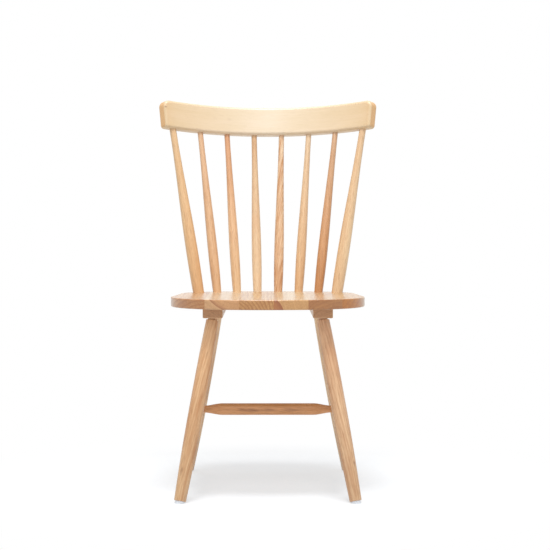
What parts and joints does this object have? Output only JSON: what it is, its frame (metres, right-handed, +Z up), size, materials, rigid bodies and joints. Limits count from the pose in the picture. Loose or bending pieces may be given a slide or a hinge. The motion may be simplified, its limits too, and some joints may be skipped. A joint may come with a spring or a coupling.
{
  "type": "windsor chair",
  "caption": "Windsor side chair in pale hardwood: rounded plank seat on splayed turned legs with stretchers, and a fanned spindle back under a bowed crest rail",
  "frame": {"origin": "on the floor, under the middle of the chair's box", "axes": "+Z up, -Y towards the front of the seat, +X towards the chair's right-hand side as it is seen from the front"},
  "size_m": [0.5292, 0.555, 0.9043],
  "materials": {
    "seat_wood": "satin clear lacquer",
    "spindle_wood": "satin clear lacquer",
    "rail_wood": "satin clear lacquer",
    "batten_wood": "satin clear lacquer",
    "leg_wood": "satin clear lacquer",
    "stretcher_wood": "satin clear lacquer",
    "glide_plastic": "plain white",
    "zinc_steel": "bright zinc"
  },
  "bodies": {
    "root": {"seat_stave_1": "seat_wood", "seat_stave_2": "seat_wood", "seat_stave_3": "seat_wood", "seat_stave_4": "seat_wood", "seat_stave_5": "seat_wood", "seat_stave_6": "seat_wood", "spindle_1": "spindle_wood", "spindle_2": "spindle_wood", "spindle_3": "spindle_wood", "spindle_4": "spindle_wood", "spindle_5": "spindle_wood", "spindle_6": "spindle_wood", "spindle_7": "spindle_wood", "spindle_8": "spindle_wood", "crest_rail": "rail_wood", "left_batten": "batten_wood", "right_batten": "batten_wood", "front_left_leg": "leg_wood", "front_left_glide": "glide_plastic", "front_right_leg": "leg_wood", "front_right_glide": "glide_plastic", "rear_left_leg": "leg_wood", "rear_left_glide": "glide_plastic", "rear_right_leg": "leg_wood", "rear_right_glide": "glide_plastic", "left_side_stretcher": "stretcher_wood", "right_side_stretcher": "stretcher_wood", "cross_stretcher": "stretcher_wood", "batten_screws": "zinc_steel", "glide_nails": "zinc_steel"}
  },
  "joints": []
}
